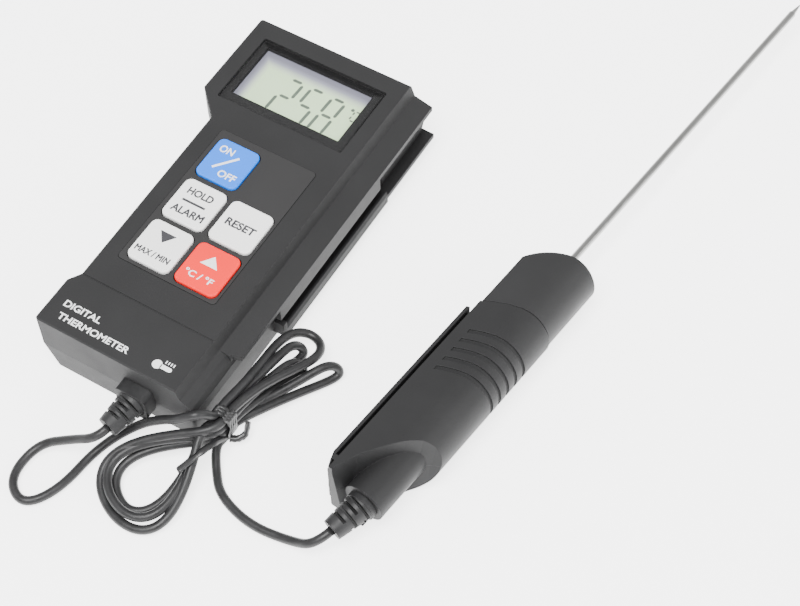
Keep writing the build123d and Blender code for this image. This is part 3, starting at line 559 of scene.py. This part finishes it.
def lettering(name, words, centre, size, z, material, body):
    """Generic words, printed flat, fitted to a width and a height."""
    data = bpy.data.curves.new(name, "FONT")
    data.body = words
    data.bevel_depth = LETTER_WEIGHT
    data.bevel_resolution = 0
    obj = bpy.data.objects.new(name, data)
    bpy.context.scene.collection.objects.link(obj)
    mesh = bpy.data.meshes.new_from_object(obj)
    bpy.data.objects.remove(obj)
    bpy.data.curves.remove(data)
    xs = [v.co.x for v in mesh.vertices]
    ys = [v.co.y for v in mesh.vertices]
    sx = size[0] / (max(xs) - min(xs))
    sy = size[1] / (max(ys) - min(ys))
    mid_x, mid_y = (max(xs) + min(xs)) / 2, (max(ys) + min(ys)) / 2
    for v in mesh.vertices:
        v.co = Vector(((centre[0] + (v.co.x - mid_x) * sx) * MM,
                       (centre[1] + (v.co.y - mid_y) * sy) * MM,
                       (z + PRINT_LIFT + LETTER_RELIEF * v.co.z) * MM))
    mesh.materials.clear()
    mesh.materials.append(material)
    piece = bpy.data.objects.new(name, mesh)
    bpy.context.scene.collection.objects.link(piece)
    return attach(piece, body)


def stroke(a, b, width):
    """Outline of a straight bar from a to b."""
    dx, dy = b[0] - a[0], b[1] - a[1]
    length = sqrt(dx * dx + dy * dy)
    nx, ny = -dy / length * width / 2, dx / length * width / 2
    return [(a[0] + nx, a[1] + ny), (a[0] - nx, a[1] - ny),
            (b[0] - nx, b[1] - ny), (b[0] + nx, b[1] + ny)]


def disc(x, y, radius, count):
    """Outline of a round dot."""
    return [(x + radius * cos(2 * pi * k / count), y + radius * sin(2 * pi * k / count))
            for k in range(count)]


lettering("legend_on", "ON", (-8.5, 12.2), (4.5, 2.5), KEY_TOP, INK_WHITE, "key_power")
lettering("legend_off", "OFF", (-3.7, 4.7), (5.6, 2.4), KEY_TOP, INK_WHITE, "key_power")
flat_shape("legend_slash", [stroke((-9.0, 5.4), (-3.9, 11.4), 0.75)], KEY_TOP, INK_WHITE, "key_power")
lettering("legend_hold", "HOLD", (-6.0, -4.3), (8.0, 2.4), KEY_TOP, INK_GREY, "key_hold")
lettering("legend_alarm", "ALARM", (-5.8, -11.0), (10.2, 2.4), KEY_TOP, INK_GREY, "key_hold")
flat_shape("legend_bar", [stroke((-9.7, -7.7), (-2.4, -7.7), 0.7)], KEY_TOP, INK_GREY, "key_hold")
lettering("legend_reset", "RESET", (9.1, -7.6), (9.2, 2.5), KEY_TOP, INK_GREY, "key_reset")
lettering("legend_max_min", "MAX / MIN", (-6.1, -26.9), (10.8, 2.0), KEY_TOP, INK_GREY, "key_max_min")
flat_shape("legend_down", [[(-8.6, -19.2), (-6.1, -22.6), (-3.5, -19.2)]], KEY_TOP, INK_GREY, "key_max_min")
lettering("legend_unit", "\u00b0C / \u00b0F", (8.6, -26.6), (8.8, 2.2), KEY_TOP, INK_WHITE, "key_unit")
flat_shape("legend_up", [[(6.2, -22.7), (11.7, -22.7), (8.9, -19.2)]], KEY_TOP, INK_WHITE, "key_unit")
lettering("word_digital", "DIGITAL", (-11.4, -50.7), (11.6, 2.1), BAND_TOP, INK_WHITE, "meter")
lettering("word_thermometer", "THERMOMETER", (-5.2, -54.6), (22.4, 2.1), BAND_TOP, INK_WHITE, "meter")

# Pictogram of a plain thermometer, lying along the band.
STEM_START, STEM_END, STEM_Y, STEM_R = 15.4, 18.2, -54.0, 0.65
bulb = disc(14.4, STEM_Y, 1.35, 24)
tip = [(STEM_END + STEM_R * sin(pi * k / 8), STEM_Y - STEM_R * cos(pi * k / 8)) for k in range(1, 8)]
stem = ([(STEM_START, STEM_Y - STEM_R), (STEM_END, STEM_Y - STEM_R)] + tip
        + [(STEM_END, STEM_Y + STEM_R), (STEM_START, STEM_Y + STEM_R)])
ticks = [stroke((16.2 + 0.8 * k, -52.8), (16.2 + 0.8 * k, -51.9), 0.32) for k in range(4)]
flat_shape("pictogram", [bulb, stem] + ticks, BAND_TOP, INK_WHITE, "meter")

# ------------------------------------------------------------------ display reading
DIGIT_W = 4.3
DIGIT_H = 13.3
DIGIT_LEFT = -8.9
DIGIT_BASE = 31.7
DIGIT_PITCH = 7.0
DIGIT_STROKE = 0.95
DIGIT_SLANT = 0.04
GLASS_TOP = 21.3
# Segments as bars between corners of a digit, in units of its width and half height.
SEGMENTS = {
    "a": ((0, 2), (1, 2)), "b": ((1, 2), (1, 1)), "c": ((1, 1), (1, 0)), "d": ((0, 0), (1, 0)),
    "e": ((0, 1), (0, 0)), "f": ((0, 2), (0, 1)), "g": ((0, 1), (1, 1)),
}
READING = ["abged", "afgcd", "abcdefg"]


def segment(left, pair, width=DIGIT_W, height=DIGIT_H, base=DIGIT_BASE, thick=DIGIT_STROKE):
    """Six-sided bar of one lit segment, slanted with its digit."""
    (x0, y0), (x1, y1) = [(left + u * width, base + v * height / 2) for u, v in pair]
    h = thick / 2
    gap = h * 1.15
    if y0 == y1:
        shape = [(x0 + gap, y0), (x0 + gap + h, y0 + h), (x1 - gap - h, y0 + h), (x1 - gap, y0),
                 (x1 - gap - h, y0 - h), (x0 + gap + h, y0 - h)]
    else:
        shape = [(x0, y0 - gap), (x0 + h, y0 - gap - h), (x0 + h, y1 + gap + h), (x0, y1 + gap),
                 (x0 - h, y1 + gap + h), (x0 - h, y0 - gap - h)]
    return [(x + (y - DIGIT_BASE - DIGIT_H) * DIGIT_SLANT, y) for x, y in shape]


lit = []
for place, names in enumerate(READING):
    for name in names:
        lit.append(segment(DIGIT_LEFT + DIGIT_PITCH * place, SEGMENTS[name]))
# Decimal point, then the small degree sign and unit.
lit.append(stroke((3.6, 32.1), (4.5, 32.1), 0.9))
for name in "afed":
    lit.append(segment(13.3, SEGMENTS[name], width=1.8, height=3.6, base=40.4, thick=0.5))
lit.append(disc(12.4, 44.0, 0.55, 16))
flat_shape("display_reading", lit, GLASS_TOP, SEGMENT, "meter")

# ------------------------------------------------------------------ stage and light, in metres
FLOOR = 6
FLOOR_DROP = 0.0002
PAPER_GLOW = 2.9
SKY_STRENGTH = 1.7
LAMP_AIM = (0.03, 0, 0)
LAMP_SIZE = 0.7
floor_mesh = bpy.data.meshes.new("floor")
floor_mesh.from_pydata([(-FLOOR, -FLOOR, 0), (FLOOR, -FLOOR, 0), (FLOOR, FLOOR, 0), (-FLOOR, FLOOR, 0)],
                       [], [(0, 1, 2, 3)])
floor_obj = bpy.data.objects.new("floor", floor_mesh)
floor_obj.location.z = -FLOOR_DROP
bpy.context.scene.collection.objects.link(floor_obj)
paper = Graph("paper")
paper.link(paper.ramp(paper.noise(8.0), [(0.3, (0.9, 0.9, 0.9)), (0.7, (0.92, 0.92, 0.92))]),
           paper.bsdf.inputs["Base Color"])
paper.bsdf.inputs["Roughness"].default_value = 0.9
paper.bsdf.inputs["Emission Color"].default_value = (1, 1, 1, 1)
paper.bsdf.inputs["Emission Strength"].default_value = PAPER_GLOW
floor_mesh.materials.append(paper.mat)

world = bpy.data.worlds.new("studio")
bpy.context.scene.world = world
world.use_nodes = True
tree = world.node_tree
sky_coord = tree.nodes.new("ShaderNodeTexCoord")
sky_split = tree.nodes.new("ShaderNodeSeparateXYZ")
sky_ramp = tree.nodes.new("ShaderNodeValToRGB")
tree.links.new(sky_coord.outputs["Generated"], sky_split.inputs["Vector"])
tree.links.new(sky_split.outputs["Z"], sky_ramp.inputs["Fac"])
tree.links.new(sky_ramp.outputs["Color"], tree.nodes["Background"].inputs["Color"])
sky_ramp.color_ramp.elements[0].color = (1, 1, 1, 1)
sky_ramp.color_ramp.elements[0].position = 0.25
sky_ramp.color_ramp.elements[1].color = (0.45, 0.45, 0.45, 1)
sky_ramp.color_ramp.elements[1].position = 0.8
tree.nodes["Background"].inputs["Strength"].default_value = SKY_STRENGTH


def lamp(name, place, power):
    data = bpy.data.lights.new(name, "AREA")
    data.size = LAMP_SIZE
    data.energy = power
    obj = bpy.data.objects.new(name, data)
    obj.location = place
    obj.rotation_euler = (Vector(LAMP_AIM) - Vector(place)).to_track_quat("-Z", "Y").to_euler()
    bpy.context.scene.collection.objects.link(obj)


lamp("key", (0.1, -0.45, 1.25), 34.0)
lamp("fill", (0.95, 0.1, 0.6), 5.0)
